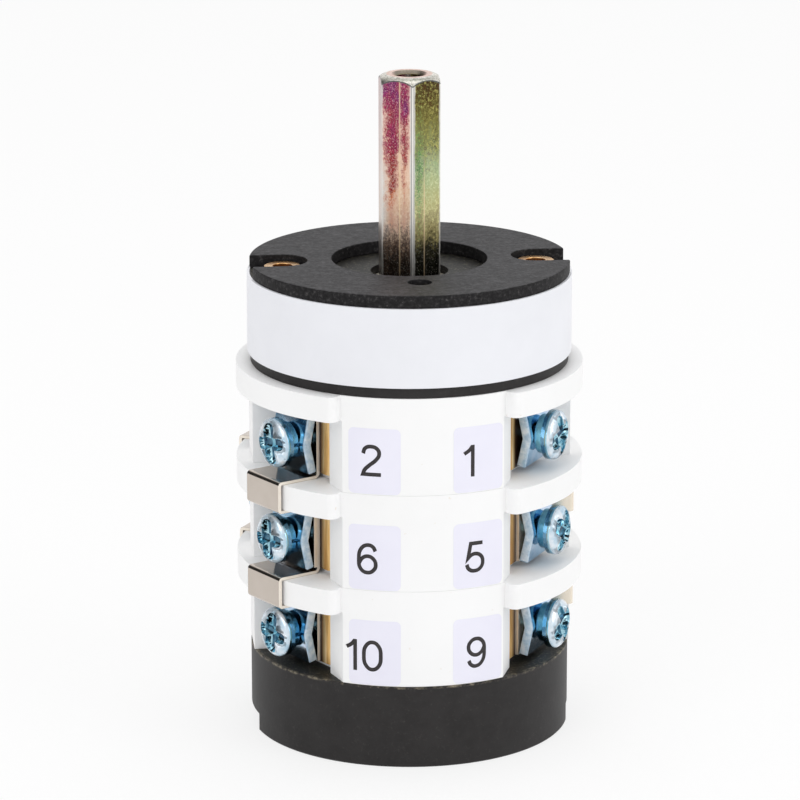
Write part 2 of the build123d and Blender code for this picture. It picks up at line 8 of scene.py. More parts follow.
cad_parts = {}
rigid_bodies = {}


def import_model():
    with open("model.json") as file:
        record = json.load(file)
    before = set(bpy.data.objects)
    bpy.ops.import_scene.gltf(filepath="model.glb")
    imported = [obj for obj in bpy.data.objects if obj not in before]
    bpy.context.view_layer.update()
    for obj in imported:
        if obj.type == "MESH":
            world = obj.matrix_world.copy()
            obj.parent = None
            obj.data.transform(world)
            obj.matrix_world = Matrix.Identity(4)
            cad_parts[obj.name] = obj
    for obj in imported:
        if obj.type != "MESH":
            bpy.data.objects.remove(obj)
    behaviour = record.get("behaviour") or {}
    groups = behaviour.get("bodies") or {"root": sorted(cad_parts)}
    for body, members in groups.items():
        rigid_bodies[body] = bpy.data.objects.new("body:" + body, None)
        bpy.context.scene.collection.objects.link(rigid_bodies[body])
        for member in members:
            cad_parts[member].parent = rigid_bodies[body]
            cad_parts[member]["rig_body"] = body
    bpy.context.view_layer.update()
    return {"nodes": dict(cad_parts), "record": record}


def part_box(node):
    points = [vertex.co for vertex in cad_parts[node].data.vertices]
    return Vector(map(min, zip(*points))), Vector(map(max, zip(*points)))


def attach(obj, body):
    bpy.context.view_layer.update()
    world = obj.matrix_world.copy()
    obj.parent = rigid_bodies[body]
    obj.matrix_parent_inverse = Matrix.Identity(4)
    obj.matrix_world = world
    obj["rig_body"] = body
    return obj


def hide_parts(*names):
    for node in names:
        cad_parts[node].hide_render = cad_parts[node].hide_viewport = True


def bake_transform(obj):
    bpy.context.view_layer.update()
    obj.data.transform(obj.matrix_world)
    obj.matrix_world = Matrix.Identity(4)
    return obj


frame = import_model()
nodes = frame["nodes"]
mm = 0.001
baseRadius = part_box("base")[1].x
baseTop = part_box("base")[1].z
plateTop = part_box("top_plate")[1].z
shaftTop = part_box("shaft")[1].z
terminalAngle = math.radians(60)
print("frame loaded:", len(nodes), "CAD nodes")


# Small helpers

def deselectAll():
    if bpy.context.object is not None and bpy.context.object.mode != "OBJECT":
        bpy.ops.object.mode_set(mode="OBJECT")
    bpy.ops.object.select_all(action="DESELECT")


def pickOnly(piece):
    deselectAll()
    piece.select_set(True)
    bpy.context.view_layer.objects.active = piece


def nameNew(name):
    piece = bpy.context.object
    piece.name = name
    piece.data.name = name
    return piece


def applyModifier(piece, kind, **settings):
    pickOnly(piece)
    modifier = piece.modifiers.new(kind.lower(), kind)
    for key, value in settings.items():
        setattr(modifier, key, value)
    bpy.ops.object.modifier_apply(modifier=modifier.name)


def roundEdges(piece, width, sharp=30):
    applyModifier(piece, "BEVEL", width=width, segments=2, limit_method="ANGLE",
                  angle_limit=math.radians(sharp), use_clamp_overlap=True)
    pickOnly(piece)
    bpy.ops.object.shade_smooth_by_angle(angle=math.radians(40))
    applyModifier(piece, "WEIGHTED_NORMAL", keep_sharp=True, weight=80)


def roundedCopy(nodeName, name, width):
    # the same piece as the CAD node, with its flat faces made whole and its sharp edges taken off
    piece = bpy.data.objects.new(name, nodes[nodeName].data.copy())
    bpy.context.scene.collection.objects.link(piece)
    pickOnly(piece)
    bpy.ops.mesh.customdata_custom_splitnormals_clear()
    bpy.ops.object.mode_set(mode="EDIT")
    bpy.ops.mesh.select_all(action="SELECT")
    bpy.ops.mesh.remove_doubles(threshold=0.002 * mm)
    bpy.ops.mesh.dissolve_limited(angle_limit=math.radians(0.5))
    bpy.ops.object.mode_set(mode="OBJECT")
    roundEdges(piece, width)
    return piece


def standIn(piece, body, slotName, *nodeNames):
    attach(piece, body)
    if nodeNames:
        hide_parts(*nodeNames)


def bodyOfNode(nodeName):
    return nodes[nodeName]["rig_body"]


# Materials

def rgb(red, green, blue):
    values = []
    for channel in (red, green, blue):
        share = channel / 255
        values.append(share / 12.92 if share <= 0.04045 else ((share + 0.055) / 1.055) ** 2.4)
    return (*values, 1.0)


def newMaterial(name, **sockets):
    material = bpy.data.materials.new(name)
    material.use_nodes = True
    shader = material.node_tree.nodes["Principled BSDF"]
    for key, value in sockets.items():
        shader.inputs[key.replace("_", " ")].default_value = value
    return material, material.node_tree, shader


def plug(tree, socket, value):
    # links another node's output, or sets a plain value
    if hasattr(value, "is_output"):
        tree.links.new(value, socket)
    else:
        socket.default_value = value


def addNode(tree, kind, **inputs):
    node = tree.nodes.new(kind)
    for key, value in inputs.items():
        plug(tree, node.inputs[key.replace("_", " ")], value)
    return node


def objectCoords(tree, scale=(1, 1, 1)):
    coords = addNode(tree, "ShaderNodeTexCoord")
    mapping = addNode(tree, "ShaderNodeMapping", Scale=scale)
    tree.links.new(coords.outputs["Object"], mapping.inputs["Vector"])
    return mapping.outputs["Vector"]


def noiseOf(tree, vector, scale, detail=4, roughness=0.6, distortion=0.0):
    node = addNode(tree, "ShaderNodeTexNoise", Vector=vector, Scale=scale, Detail=detail,
                   Roughness=roughness, Distortion=distortion)
    return node.outputs["Fac"]


def rampOf(tree, factor, stops):
    node = addNode(tree, "ShaderNodeValToRGB", Fac=factor)
    elements = node.color_ramp.elements
    while len(elements) < len(stops):
        elements.new(0.5)
    for element, (position, colour) in zip(elements, stops):
        element.position = position
        element.color = colour
    return node.outputs["Color"]


def mixColours(tree, factor, first, second, blend="MIX"):
    node = tree.nodes.new("ShaderNodeMix")
    node.data_type = "RGBA"
    node.blend_type = blend
    for place, value in ((0, factor), (6, first), (7, second)):
        plug(tree, node.inputs[place], value)
    return node.outputs[2]


def mathOf(tree, operation, first, second=0.0):
    node = tree.nodes.new("ShaderNodeMath")
    node.operation = operation
    for place, value in enumerate((first, second)):
        plug(tree, node.inputs[place], value)
    return node.outputs[0]


def rangeOf(tree, value, low, high, newLow=0.0, newHigh=1.0):
    node = addNode(tree, "ShaderNodeMapRange", Value=value, From_Min=low, From_Max=high,
                   To_Min=newLow, To_Max=newHigh)
    return node.outputs["Result"]


def chain(tree, operation, *values):
    # the same operation over all the values, from left to right
    total = values[0]
    for value in values[1:]:
        total = mathOf(tree, operation, total, value)
    return total


def addBump(tree, shader, height, distance):
    bump = addNode(tree, "ShaderNodeBump", Height=height, Distance=distance, Strength=1.0)
    tree.links.new(bump.outputs["Normal"], shader.inputs["Normal"])


def facingOf(tree, axis):
    geometry = addNode(tree, "ShaderNodeNewGeometry")
    parts = addNode(tree, "ShaderNodeSeparateXYZ", Vector=geometry.outputs["Normal"])
    return parts.outputs[axis]


def placeOf(tree, coords):
    parts = addNode(tree, "ShaderNodeSeparateXYZ", Vector=coords)
    return parts.outputs["X"], parts.outputs["Y"], parts.outputs["Z"]


def planRadius(tree, across, along):
    squares = [mathOf(tree, "POWER", value, 2.0) for value in (across, along)]
    return mathOf(tree, "SQRT", chain(tree, "ADD", *squares))


def whiteResinMaterial():
    material, tree, shader = newMaterial("whiteResin", Roughness=0.45, IOR=1.5, Specular_IOR_Level=0.35)
    coords = objectCoords(tree)
    cloud = noiseOf(tree, coords, 60, detail=3)
    tint = rampOf(tree, cloud, [(0.3, rgb(245, 245, 245)), (0.7, rgb(248, 248, 248))])
    specks = noiseOf(tree, coords, 900, detail=2)
    speckMask = rampOf(tree, specks, [(0.72, (0, 0, 0, 1)), (0.78, (0.6, 0.6, 0.6, 1))])
    colour = mixColours(tree, speckMask, tint, rgb(232, 224, 214))
    tree.links.new(colour, shader.inputs["Base Color"])
    grain = noiseOf(tree, coords, 1400, detail=3)
    addBump(tree, shader, grain, 0.008 * mm)
    return material


# the pale torn flash along the upper rim of the base, in from its edge and down from its top
flash = {
    "inwards": (0.7 * mm, 0.35 * mm),
    "downwards": (0.5 * mm, 0.2 * mm),
    "upwards": (0.1 * mm, 0.2 * mm),
}


def flashMask(tree, coords):
    across, along, up = placeOf(tree, coords)
    inner, outer = (baseRadius - inset for inset in flash["inwards"])
    low, high = (baseTop - inset for inset in flash["downwards"])
    end, gone = (baseTop + rise for rise in flash["upwards"])
    torn = rampOf(tree, noiseOf(tree, coords, 500, detail=6, roughness=0.85),
                  [(0.47, (0, 0, 0, 1)), (0.62, (0.85, 0.85, 0.85, 1))])
    return chain(tree, "MULTIPLY", rangeOf(tree, planRadius(tree, across, along), inner, outer),
                 rangeOf(tree, up, low, high), rangeOf(tree, up, end, gone, 1.0, 0.0), torn)


def blackMouldingMaterial():
    material, tree, shader = newMaterial("blackMoulding", Roughness=0.5, Specular_IOR_Level=0.25)
    coords = objectCoords(tree)
    cloud = noiseOf(tree, coords, 170, detail=6, roughness=0.7)
    fleck = noiseOf(tree, coords, 1300, detail=4, roughness=0.75)
    tint = rampOf(tree, cloud, [(0.35, rgb(34, 32, 32)), (0.65, rgb(43, 41, 41))])
    fleckMask = rampOf(tree, fleck, [(0.58, (0, 0, 0, 1)), (0.74, (0.5, 0.5, 0.5, 1))])
    colour = mixColours(tree, fleckMask, tint, rgb(66, 63, 61))
    dust = rampOf(tree, noiseOf(tree, coords, 2100, detail=4, roughness=0.85),
                  [(0.42, rgb(20, 19, 17)), (0.56, rgb(34, 33, 29)), (0.66, rgb(112, 108, 92))])
    colour = mixColours(tree, rangeOf(tree, facingOf(tree, "Z"), 0.6, 0.95), colour, dust)
    colour = mixColours(tree, flashMask(tree, coords), colour, rgb(150, 140, 120))
    tree.links.new(colour, shader.inputs["Base Color"])
    addBump(tree, shader, fleck, 0.02 * mm)
    return material


def dustyPlateMaterial():
    # black moulding, with dust and rubbed grey marks on what faces up
    material, tree, shader = newMaterial("dustyPlate", Roughness=0.55, Specular_IOR_Level=0.12)
    coords = objectCoords(tree)
    cloud = noiseOf(tree, coords, 260, detail=8, roughness=0.75, distortion=0.6)
    fleck = noiseOf(tree, coords, 1500, detail=5, roughness=0.8)
    rubbed = noiseOf(tree, objectCoords(tree, (0.55, 1.3, 1)), 900, detail=6, roughness=0.8)
    plain = rampOf(tree, fleck, [(0.42, rgb(26, 25, 26)), (0.56, rgb(40, 39, 40)), (0.68, rgb(80, 78, 78))])
    dust = rampOf(tree, cloud, [(0.38, rgb(36, 35, 37)), (0.5, rgb(52, 51, 53)), (0.62, rgb(74, 73, 75))])
    grit = rampOf(tree, fleck, [(0.42, rgb(28, 27, 29)), (0.5, rgb(52, 51, 53)), (0.6, rgb(102, 101, 103))])
    lines = rampOf(tree, rubbed, [(0.38, rgb(36, 35, 37)), (0.52, rgb(54, 53, 55)), (0.66, rgb(92, 91, 93))])
    dust = mixColours(tree, 0.45, mixColours(tree, 0.5, dust, grit), lines)
    upward = rangeOf(tree, facingOf(tree, "Z"), 0.55, 0.95)
    tree.links.new(mixColours(tree, upward, plain, dust), shader.inputs["Base Color"])
    addBump(tree, shader, fleck, 0.03 * mm)
    return material


def labelMaterial():
    material, tree, shader = newMaterial("labelFilm", Roughness=0.45, Specular_IOR_Level=0.35)
    coords = objectCoords(tree)
    cloud = noiseOf(tree, coords, 90, detail=3)
    tint = rampOf(tree, cloud, [(0.3, rgb(233, 234, 239)), (0.7, rgb(237, 238, 243))])
    tree.links.new(tint, shader.inputs["Base Color"])
    addBump(tree, shader, noiseOf(tree, coords, 500, detail=2), 0.006 * mm)
    return material


def stickerMaterial():
    material, tree, shader = newMaterial("numberSticker", Roughness=0.45, Specular_IOR_Level=0.35)
    coords = objectCoords(tree)
    cloud = noiseOf(tree, coords, 120, detail=2)
    tint = rampOf(tree, cloud, [(0.3, rgb(234, 233, 246)), (0.7, rgb(238, 237, 249))])
    tree.links.new(tint, shader.inputs["Base Color"])
    return material


def inkMaterial():
    material, tree, shader = newMaterial("printedInk", Roughness=0.6)
    coords = objectCoords(tree)
    grain = noiseOf(tree, coords, 1500, detail=2)
    tint = rampOf(tree, grain, [(0.3, rgb(40, 35, 36)), (0.7, rgb(48, 43, 44))])
    tree.links.new(tint, shader.inputs["Base Color"])
    return material


def platedMaterial(name, pale, deep, rough, metal=1.0, cloudScale=220, grain=0.003):
    material, tree, shader = newMaterial(name, Metallic=metal, Roughness=rough)
    coords = objectCoords(tree)
    cloud = noiseOf(tree, coords, cloudScale, detail=4)
    tint = rampOf(tree, cloud, [(0.35, rgb(*deep)), (0.65, rgb(*pale))])
    tree.links.new(tint, shader.inputs["Base Color"])
    if grain:
        addBump(tree, shader, noiseOf(tree, coords, 1800, detail=3), grain * mm)
    return material


# how far sideways from the terminal's middle the clamp's painted shade on the brass reaches
clampShadeOnBrass = {"from": 5.2 * mm, "to": 6.4 * mm}


def brassMaterial():
    # bright next to the block, with the clamp's painted shade in dark brown where it runs under the clamp
    material, tree, shader = newMaterial("rolledBrass", Metallic=0.5, Roughness=0.38)
    drawn = noiseOf(tree, objectCoords(tree, (1, 1, 0.05)), 1100, detail=4)
    tint = rampOf(tree, drawn, [
        (0.36, rgb(196, 146, 80)),
        (0.50, rgb(234, 188, 118)),
        (0.64, rgb(252, 226, 174)),
    ])
    across, along, up = placeOf(tree, objectCoords(tree))
    fromFront = mathOf(tree, "MULTIPLY", mathOf(tree, "ABSOLUTE", along), math.sin(terminalAngle))
    fromSide = mathOf(tree, "MULTIPLY", mathOf(tree, "ABSOLUTE", across), math.cos(terminalAngle))
    sideways = mathOf(tree, "ABSOLUTE", mathOf(tree, "SUBTRACT", fromFront, fromSide))
    # painted shade of the clamp: dark brown brass near the terminal's middle, fading out to the side
    outOfClampShade = rangeOf(tree, sideways, clampShadeOnBrass["from"], clampShadeOnBrass["to"])
    tree.links.new(mixColours(tree, outOfClampShade, rgb(58, 36, 20), tint), shader.inputs["Base Color"])
    return material


# The bar. Lengths run from its axis outwards, and for the foot of the crown from its top downwards.

bar = {
    "halfWidth": 5 * mm,
    "halfFace": 2.885 * mm,
    "cornerRadius": 5 * mm / math.cos(math.radians(30)),
    "cornerBlend": 0.02 * mm,
    "insideBore": (2.35 * mm, 2.5 * mm),
    "boreRim": (2.5 * mm, 2.7 * mm),
    "landEdge": (3.85 * mm, 4.0 * mm),
    "slopeMiddle": (4.7 * mm, 5.2 * mm),
    "crownFoot": (0.4 * mm, 1.2 * mm),
    "footShadeLine": (0.14 * mm, 0.24 * mm),
}


def awayFrom(tree, value, middle):
    return mathOf(tree, "ABSOLUTE", mathOf(tree, "SUBTRACT", value, middle))


def strip(tree, value, middle, width, top=1.0):
    # top along the middle, falling evenly to both sides
    return mathOf(tree, "SUBTRACT", top, mathOf(tree, "DIVIDE", awayFrom(tree, value, middle), width))


def barMaps(tree):
    coords = objectCoords(tree)
    across, along, up = placeOf(tree, coords)
    height = rangeOf(tree, up, plateTop, shaftTop)
    cloud = noiseOf(tree, objectCoords(tree, (1, 1, 0.5)), 420, detail=5, roughness=0.65)
    streaks = noiseOf(tree, objectCoords(tree, (1, 1, 0.2)), 1100, detail=4, roughness=0.7)
    mottle = noiseOf(tree, objectCoords(tree, (1, 1, 0.8)), 2300, detail=3, roughness=0.8)
    onSide = rangeOf(tree, mathOf(tree, "ABSOLUTE", facingOf(tree, "X")), 0.93, 0.97)
    # 0 along the front and back corners, 1 along the side corners; a side face has 0 in its middle
    frontReach = mathOf(tree, "DIVIDE", mathOf(tree, "ABSOLUTE", across), bar["halfWidth"])
    sideReach = mathOf(tree, "DIVIDE", mathOf(tree, "ABSOLUTE", along), bar["halfFace"])
    return {
        "across": across,
        "up": up,
        "radius": planRadius(tree, across, along),
        "height": height,
        "cloud": cloud,
        "streaks": streaks,
        "mottle": mottle,
        "spark": noiseOf(tree, coords, 3900, detail=2, roughness=0.9),
        "wavyHeight": chain(tree, "ADD", height, rangeOf(tree, streaks, 0.0, 1.0, -0.12, 0.12),
                            rangeOf(tree, mottle, 0.0, 1.0, -0.12, 0.12)),
        "cloudyHeight": mathOf(tree, "ADD", height, rangeOf(tree, cloud, 0.25, 0.75, -0.35, 0.35)),
        "onSide": onSide,
        "reach": rangeOf(tree, onSide, 0, 1, frontReach, sideReach),
    }


def rightSide(tree, maps):
    return rangeOf(tree, maps["across"], -bar["cornerBlend"], bar["cornerBlend"])


def leftFaceColour(tree, maps):
    # pale pink, grey by the outer corner, under patches from magenta to rust that thin out downwards
    height, reach, spark = maps["height"], maps["reach"], maps["spark"]
    pale = rampOf(tree, maps["wavyHeight"], [
        (0.00, rgb(64, 54, 48)),
        (0.10, rgb(120, 100, 88)),
        (0.20, rgb(214, 190, 172)),
        (0.45, rgb(238, 214, 198)),
        (0.75, rgb(238, 212, 202)),
        (1.00, rgb(232, 204, 200)),
    ])
    washed = chain(
        tree, "MULTIPLY",
        rangeOf(tree, reach, 0.72, 0.95),
        rangeOf(tree, maps["cloudyHeight"], 0.35, 0.7, 0.8, 0.0),
        rangeOf(tree, height, 0.1, 0.25),
    )
    pale = mixColours(tree, washed, pale, rgb(222, 222, 222))
    patch = rampOf(tree, maps["cloudyHeight"], [
        (0.10, rgb(176, 80, 74)),
        (0.32, rgb(198, 118, 72)),
        (0.48, rgb(160, 70, 56)),
        (0.62, rgb(168, 62, 76)),
        (0.88, rgb(164, 62, 106)),
        (1.00, rgb(146, 66, 122)),
    ])
    patch = mixColours(tree, rangeOf(tree, spark, 0.54, 0.68, 0.0, 0.65), patch, rgb(240, 212, 210))
    patch = mixColours(tree, rangeOf(tree, spark, 0.34, 0.46, 0.65, 0.0), patch, rgb(84, 28, 50))
    band = chain(
        tree, "ADD",
        mathOf(tree, "MAXIMUM", strip(tree, reach, 0.66, 0.3), strip(tree, reach, 0.26, 0.17, 0.85)),
        rangeOf(tree, height, 0.0, 1.0, -0.9, 0.95),
        rangeOf(tree, maps["mottle"], 0.25, 0.75, -0.9, 0.9),
        rangeOf(tree, maps["cloud"], 0.25, 0.75, -0.75, 0.75),
    )
    patched = mathOf(tree, "MULTIPLY", rangeOf(tree, band, 0.15, 1.0), rangeOf(tree, height, 0.12, 0.3))
    return mixColours(tree, patched, pale, patch)


def rightFaceColour(tree, maps):
    # dark gold with rust on top, olive below it, then pale grey green, with one leaf green streak
    spark, mottle = maps["spark"], maps["mottle"]
    colour = rampOf(tree, maps["wavyHeight"], [
        (0.00, rgb(30, 31, 24)),
        (0.08, rgb(60, 58, 42)),
        (0.16, rgb(172, 162, 114)),
        (0.30, rgb(204, 202, 156)),
        (0.50, rgb(192, 204, 168)),
        (0.64, rgb(164, 172, 116)),
        (0.77, rgb(138, 134, 76)),
        (0.90, rgb(104, 94, 52)),
        (1.00, rgb(60, 50, 42)),
    ])
    fromMiddle = mathOf(tree, "MULTIPLY", awayFrom(tree, maps["height"], 0.52), 3.0)
    leaf = chain(
        tree, "ADD",
        mathOf(tree, "SUBTRACT", strip(tree, maps["reach"], 0.22, 0.24), fromMiddle),
        rangeOf(tree, mottle, 0.25, 0.75, -0.8, 0.8),
        rangeOf(tree, spark, 0.3, 0.7, -1.1, 1.1),
    )
    colour = mixColours(tree, rangeOf(tree, leaf, 0.0, 1.0, 0.0, 0.9), colour, rgb(98, 146, 92))
    upper = rangeOf(tree, maps["cloudyHeight"], 0.5, 0.85)
    for flecks, tint in (
        (rangeOf(tree, mottle, 0.5, 0.62, 0.0, 0.8), rgb(176, 170, 104)),
        (rangeOf(tree, spark, 0.36, 0.47, 0.7, 0.0), rgb(38, 32, 26)),
        (rangeOf(tree, mottle, 0.36, 0.46, 0.7, 0.0), rgb(104, 44, 40)),
    ):
        colour = mixColours(tree, mathOf(tree, "MULTIPLY", upper, flecks), colour, tint)
    return colour


def drawFaceLines(tree, maps, colour):
    # painted highlights along the borders of each face, one drawn line, and a painted reflection line in
    # grey on both sides of the corner
    reach = maps["reach"]
    wavyReach = mathOf(tree, "ADD", reach, rangeOf(tree, maps["streaks"], 0.3, 0.7, -0.02, 0.02))
    cornerHighlight = rampOf(tree, wavyReach, [
        (0.06, (0.95, 0.95, 0.95, 1)),
        (0.10, (0, 0, 0, 1)),
        (0.94, (0, 0, 0, 1)),
        (0.99, (0.75, 0.75, 0.75, 1)),
    ])
    colour = mixColours(tree, cornerHighlight, colour, rgb(236, 234, 228))
    drawn = rangeOf(tree, awayFrom(tree, reach, 0.42), 0.008, 0.03, 0.7, 0.0)
    # on the right face this line ends at half height
    lineEnd = mathOf(tree, "ADD", maps["height"], rightSide(tree, maps))
    drawn = mathOf(tree, "MULTIPLY", drawn, rangeOf(tree, lineEnd, 1.35, 1.6, 1.0, 0.0))
    colour = mixColours(tree, drawn, colour, rgb(232, 206, 168))
    cornerReflectionLine = rangeOf(tree, awayFrom(tree, reach, 0.045), 0.008, 0.02, 0.75, 0.0)
    return mixColours(tree, cornerReflectionLine, colour, rgb(108, 110, 114))


def addCrown(tree, maps, colour):
    # a painted shade line round its foot, a pale slope with painted shade where it faces the front, a pink
    # land and a golden hole
    radius, mottle = maps["radius"], maps["mottle"]
    slope = rampOf(tree, mottle, [
        (0.36, rgb(150, 150, 138)),
        (0.50, rgb(216, 212, 202)),
        (0.64, rgb(244, 242, 236)),
    ])
    land = rampOf(tree, mottle, [(0.36, rgb(206, 172, 158)), (0.64, rgb(236, 210, 198))])
    slope = mixColours(tree, rangeOf(tree, radius, *bar["landEdge"]), land, slope)
    slope = mixColours(tree, rangeOf(tree, radius, *bar["boreRim"]), rgb(206, 172, 116), slope)
    # painted shade: a dark line along the crown's foot, where the flats meet the crown
    footDrop = rangeOf(tree, radius, bar["halfWidth"], bar["cornerRadius"], *bar["crownFoot"])
    belowFoot = mathOf(tree, "SUBTRACT", mathOf(tree, "SUBTRACT", shaftTop, footDrop), maps["up"])
    footShadeLine = rangeOf(tree, belowFoot, *bar["footShadeLine"], 0.9, 0.0)
    colour = mixColours(tree, footShadeLine, colour, rgb(92, 96, 94))
    # painted shade on the crown's slope where it faces the front
    frontSlopeShade = mathOf(tree, "MULTIPLY", rangeOf(tree, facingOf(tree, "Y"), -0.45, -0.1, 0.8, 0.0),
                     rangeOf(tree, radius, *bar["slopeMiddle"], 1.0, 0.2))
    slope = mixColours(tree, frontSlopeShade, slope, rgb(96, 100, 88))
    colour = mixColours(tree, rangeOf(tree, facingOf(tree, "Z"), 0.1, 0.3), colour, slope)
    return mixColours(tree, rangeOf(tree, radius, *bar["insideBore"]), rgb(150, 116, 70), colour)


def rainbowZincMaterial():
    # yellow passivated zinc, worn: magenta patches on the left faces, green and olive on the right ones,
    # with painted highlights along the corners, a painted reflection on the side faces and painted shade on
    # the crown
    material, tree, shader = newMaterial("rainbowZinc", Metallic=1.0, Roughness=0.34)
    maps = barMaps(tree)
    colour = mixColours(tree, rightSide(tree, maps), leftFaceColour(tree, maps), rightFaceColour(tree, maps))
    # the side faces painted pale grey, a painted reflection as seen at a grazing angle
    colour = mixColours(tree, mathOf(tree, "MULTIPLY", maps["onSide"], 0.6), colour, rgb(226, 222, 220))
    relief = rampOf(tree, maps["mottle"], [
        (0.34, rgb(84, 72, 66)),
        (0.50, rgb(128, 124, 118)),
        (0.66, rgb(222, 216, 194)),
    ])
    colour = mixColours(tree, 0.45, colour, relief, "OVERLAY")
    footSpark = mathOf(tree, "MULTIPLY", rangeOf(tree, maps["height"], 0.02, 0.16, 1.0, 0.0),
                       rangeOf(tree, maps["spark"], 0.58, 0.68, 0.0, 0.8))
    colour = mixColours(tree, footSpark, colour, rgb(206, 202, 190))
    colour = addCrown(tree, maps, drawFaceLines(tree, maps, colour))
    tree.links.new(colour, shader.inputs["Base Color"])
    addBump(tree, shader, maps["mottle"], 0.014 * mm)
    return material


def camResinMaterial():
    material, tree, shader = newMaterial("camResin", Roughness=0.45)
    coords = objectCoords(tree)
    cloud = noiseOf(tree, coords, 300, detail=3)
    tint = rampOf(tree, cloud, [(0.3, rgb(206, 200, 186)), (0.7, rgb(216, 210, 196))])
    tree.links.new(tint, shader.inputs["Base Color"])
    addBump(tree, shader, noiseOf(tree, coords, 1500), 0.01 * mm)
    return material


# One material for each slot of the record, and the finishes and painted light and shade that only some faces
# or pieces have

materials = {
    "white_resin": whiteResinMaterial(),
    "black_plastic": blackMouldingMaterial(),
    "label_film": labelMaterial(),
    "steel": platedMaterial("plainZinc", (190, 194, 200), (150, 156, 164), 0.3),
    "spring_steel": platedMaterial("springWire", (150, 152, 156), (110, 112, 118), 0.25),
    "blue_zinc": platedMaterial("blueZinc", (214, 226, 244), (150, 194, 224), 0.13, cloudScale=200),
    "yellow_zinc": platedMaterial("yellowZinc", (232, 196, 150), (206, 156, 98), 0.25),
    "iridescent_zinc": rainbowZincMaterial(),
    "brass": brassMaterial(),
    "nickel_strip": platedMaterial("nickelStrip", (202, 192, 183), (194, 184, 174), 0.14,
                                   cloudScale=90, grain=0),
    "cam_resin": camResinMaterial(),
}
finishesAndPaintedLight = {
    "topPlate": dustyPlateMaterial(),
    "sheetEdge": platedMaterial("sheetEdge", (224, 238, 250), (168, 200, 224), 0.45, 0.45,
                                cloudScale=900, grain=0.02),
    # the jumpers' cut edges, painted paler than the nickel strip as a painted highlight
    "nickelEdgeHighlight": platedMaterial("nickelEdgeHighlight", (246, 238, 226), (236, 226, 212), 0.35, 0.4,
                                 cloudScale=300, grain=0),
    # the cross straps, the same nickel strip painted lighter as painted light
    "litStrapFace": platedMaterial("litStrapFace", (244, 234, 218), (236, 224, 206), 0.25, 0.6,
                                cloudScale=200, grain=0),
    "washer": platedMaterial("washerFace", (140, 204, 226), (56, 128, 168), 0.16, cloudScale=260),
    # the screws' one plating in lit and shaded copies: a painted-light dome, and painted shade on the rim,
    # the recess walls and the recess floors
    "screwDome": platedMaterial("screwDome", (236, 241, 247), (178, 206, 224), 0.22, 0.6,
                                cloudScale=420, grain=0.002),
    "screwRim": platedMaterial("screwRim", (178, 220, 234), (92, 162, 194), 0.16, cloudScale=320),
    "screwRecess": platedMaterial("screwRecess", (192, 226, 236), (84, 152, 178), 0.2, cloudScale=700),
    "screwPocket": platedMaterial("screwPocket", (92, 138, 160), (34, 52, 78), 0.2, cloudScale=600),
    "sticker": stickerMaterial(),
    "ink": inkMaterial(),
}
print("materials made:", len(materials) + len(finishesAndPaintedLight))


def paint(piece, material):
    piece.data.materials.clear()
    piece.data.materials.append(material)


slotOfNode = {part["node"]: part["material_slot"] for part in frame["record"]["subparts"]}
for nodeName, node in nodes.items():
    paint(node, materials[slotOfNode[nodeName]])


# Mouldings and pressings with their edges taken off

edgeWidths = {
    "base": 0.35,
    "stage_housing_1": 0.35,
    "stage_housing_2": 0.35,
    "stage_housing_3": 0.35,
    "detent_housing": 0.2,
    "label_band": 0.08,
    "top_plate": 0.25,
    "tie_sleeves": 0.25,
    "shaft": 0.1,
    "clamp_plates": 0.26,
    "lock_washers": 0.12,
    "jumper_2_6": 0.07,
    "jumper_6_10": 0.07,
    "jumper_4_8": 0.07,
    "jumper_8_12": 0.07,
    "cross_strap_5_7": 0.07,
    "cross_strap_9_11": 0.07,
}
rounded = {}
for nodeName, width in edgeWidths.items():
    piece = roundedCopy(nodeName, nodeName + "_rounded", width * mm)
    paint(piece, finishesAndPaintedLight["topPlate"] if nodeName == "top_plate" else materials[slotOfNode[nodeName]])
    standIn(piece, bodyOfNode(nodeName), slotOfNode[nodeName], nodeName)
    rounded[nodeName] = piece
print("edges rounded on", len(rounded), "pieces")


def paintCutEdges(piece, material):
    # sheared edges face along the terminal's wall, at 90 degrees to the way out of it
    piece.data.materials.append(material)
    wayOut = Vector((math.sin(terminalAngle), math.cos(terminalAngle), 0))
    for polygon in piece.data.polygons:
        facing = Vector((abs(polygon.normal.x), -abs(polygon.normal.y), 0))
        if abs(polygon.normal.z) < 0.3 and abs(facing.dot(wayOut)) < 0.4:
            polygon.material_index = 1


for nodeName, piece in rounded.items():
    if nodeName == "clamp_plates":
        paintCutEdges(piece, finishesAndPaintedLight["sheetEdge"])
    elif nodeName.startswith("jumper"):
        # painted highlight on the jumpers' cut edges
        paintCutEdges(piece, finishesAndPaintedLight["nickelEdgeHighlight"])
    elif nodeName.startswith("cross_strap"):
        # the cross straps painted lighter, painted light
        paint(piece, finishesAndPaintedLight["litStrapFace"])
    elif nodeName == "lock_washers":
        paint(piece, finishesAndPaintedLight["washer"])


# Coil springs, copied in place of the CAD nodes

def stretchSpring(springName):
    # a copy of the CAD spring where it stands, with its placement put into its points
    piece = bpy.data.objects.new(springName + "_coil", nodes[springName].data.copy())
    bpy.context.scene.collection.objects.link(piece)
    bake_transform(piece)
    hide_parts(springName)


springBodies = {f"detent_spring_{side}": f"detent_{side}" for side in ("front", "back")}
for stage in (1, 2, 3):
    for side in ("front", "back"):
        springBodies[f"bridge_spring_{stage}_{side}"] = f"contact_{stage}_{side}"
for springName, movingBody in springBodies.items():
    stretchSpring(springName)
print("springs made:", len(springBodies))


# Terminal screws

